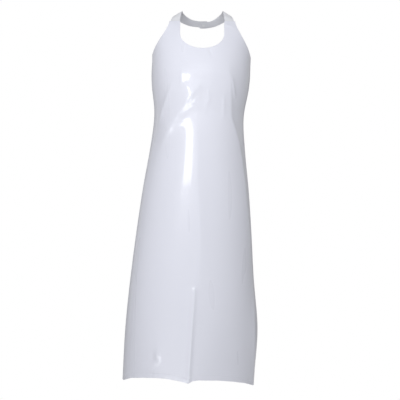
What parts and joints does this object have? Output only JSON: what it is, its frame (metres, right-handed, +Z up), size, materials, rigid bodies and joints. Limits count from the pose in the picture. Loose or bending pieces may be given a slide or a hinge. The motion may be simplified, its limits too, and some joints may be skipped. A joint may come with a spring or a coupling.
{
  "type": "butcher apron",
  "caption": "Waterproof film apron with a bib, neck strap and waist straps that fasten with press studs, shown as worn.",
  "frame": {"origin": "middle of the line across the tops of the two shoulder straps, where the apron hangs from the wearer", "axes": "+Z up; the wearer faces -Y; +X is to the right of someone who faces the wearer"},
  "size_m": [0.436, 0.2489, 1.23],
  "materials": {
    "film": "glossy white plastic film with a fine cast texture",
    "strap": "satin, two layers of film welded along both edges",
    "stud": "moulded acetal, satin"
  },
  "bodies": {
    "apron": {"apron_panel": "film", "left_shoulder_patch": "film", "right_shoulder_patch": "film", "left_waist_patch": "film", "right_waist_patch": "film", "neck_strap_anchor": "strap", "neck_strap_bend": "strap", "neck_stud_strap": "strap", "neck_stud": "stud", "neck_stud_post": "stud", "waist_strap_anchor": "strap", "waist_strap_bend": "strap", "left_waist_strap": "strap", "waist_stud_1": "stud", "waist_stud_2": "stud", "waist_stud_3": "stud", "waist_stud_post_1": "stud", "waist_stud_post_2": "stud", "waist_stud_post_3": "stud"},
    "neck_strap_end": {"neck_strap": "strap", "neck_snap_cap": "stud", "neck_snap_socket": "stud"},
    "waist_strap_end": {"waist_strap": "strap", "waist_snap_cap": "stud", "waist_snap_socket": "stud"}
  },
  "joints": [
    {"name": "neck_strap_swing", "type": "hinge", "parent": "apron", "child": "neck_strap_end", "pos_m": [-0.05398, 0.07325, -0.01884], "axis": [0.5252, -0.6833, 0.5072], "range_deg": [0, 85], "deforming": ["neck_strap_bend"]},
    {"name": "waist_strap_swing", "type": "hinge", "parent": "apron", "child": "waist_strap_end", "pos_m": [0.0471, 0.1043, -0.34749], "axis": [-0.043, 0, -0.9991], "range_deg": [0, 100], "deforming": ["waist_strap_bend"]}
  ]
}
